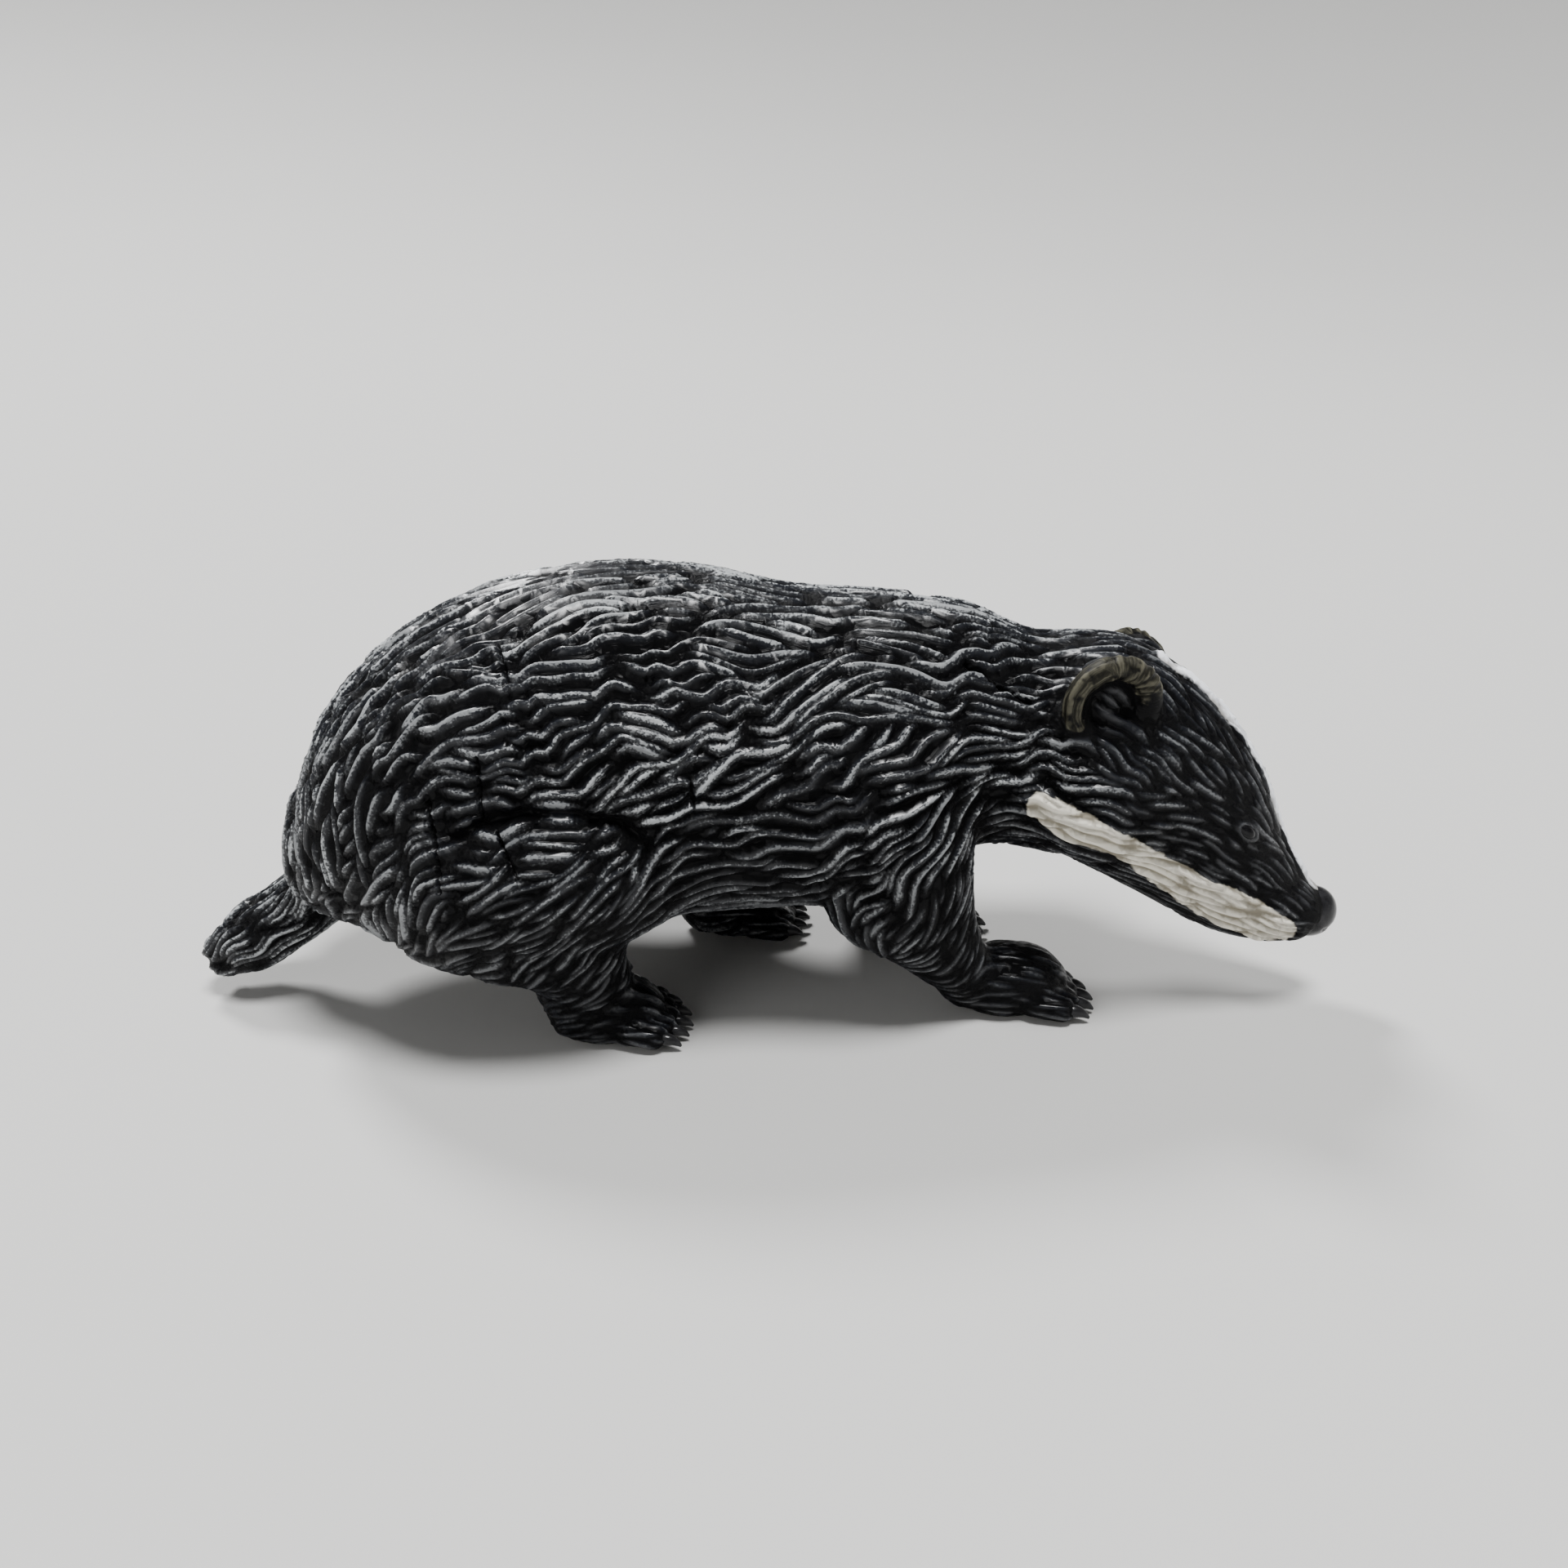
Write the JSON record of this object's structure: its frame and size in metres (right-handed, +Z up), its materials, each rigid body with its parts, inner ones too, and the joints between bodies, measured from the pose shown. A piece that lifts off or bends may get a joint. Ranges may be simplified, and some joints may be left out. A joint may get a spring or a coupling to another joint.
{
  "type": "toy badger figurine",
  "caption": "Small moulded plastic badger figurine, walking with its head low, for play or display on a table or shelf.",
  "frame": {"origin": "on the floor, under the middle of the figure's overall length and width", "axes": "+X from tail to nose, along the length; +Y to the animal's left; +Z up"},
  "size_m": [0.0874, 0.0314, 0.0336],
  "materials": {
    "coat": "semi-gloss black paint, dry-brushed grey on the raised hair",
    "face": "semi-gloss black paint",
    "stripe": "satin off-white paint",
    "ear_rim": "satin olive-brown paint",
    "nose": "gloss black paint",
    "eye": "gloss black paint"
  },
  "bodies": {
    "root": {"torso": "coat", "neck": "coat", "tail": "coat", "fore_leg_right": "coat", "fore_leg_left": "coat", "hind_leg_right": "coat", "hind_leg_left": "coat", "fore_paw_right": "coat", "fore_paw_left": "coat", "hind_paw_right": "coat", "hind_paw_left": "coat", "head": "face", "cheek_stripe_right": "stripe", "cheek_stripe_left": "stripe", "face_stripe": "stripe", "ear_right": "ear_rim", "ear_left": "ear_rim", "nose": "nose", "eye_right": "eye", "eye_left": "eye"}
  },
  "joints": []
}
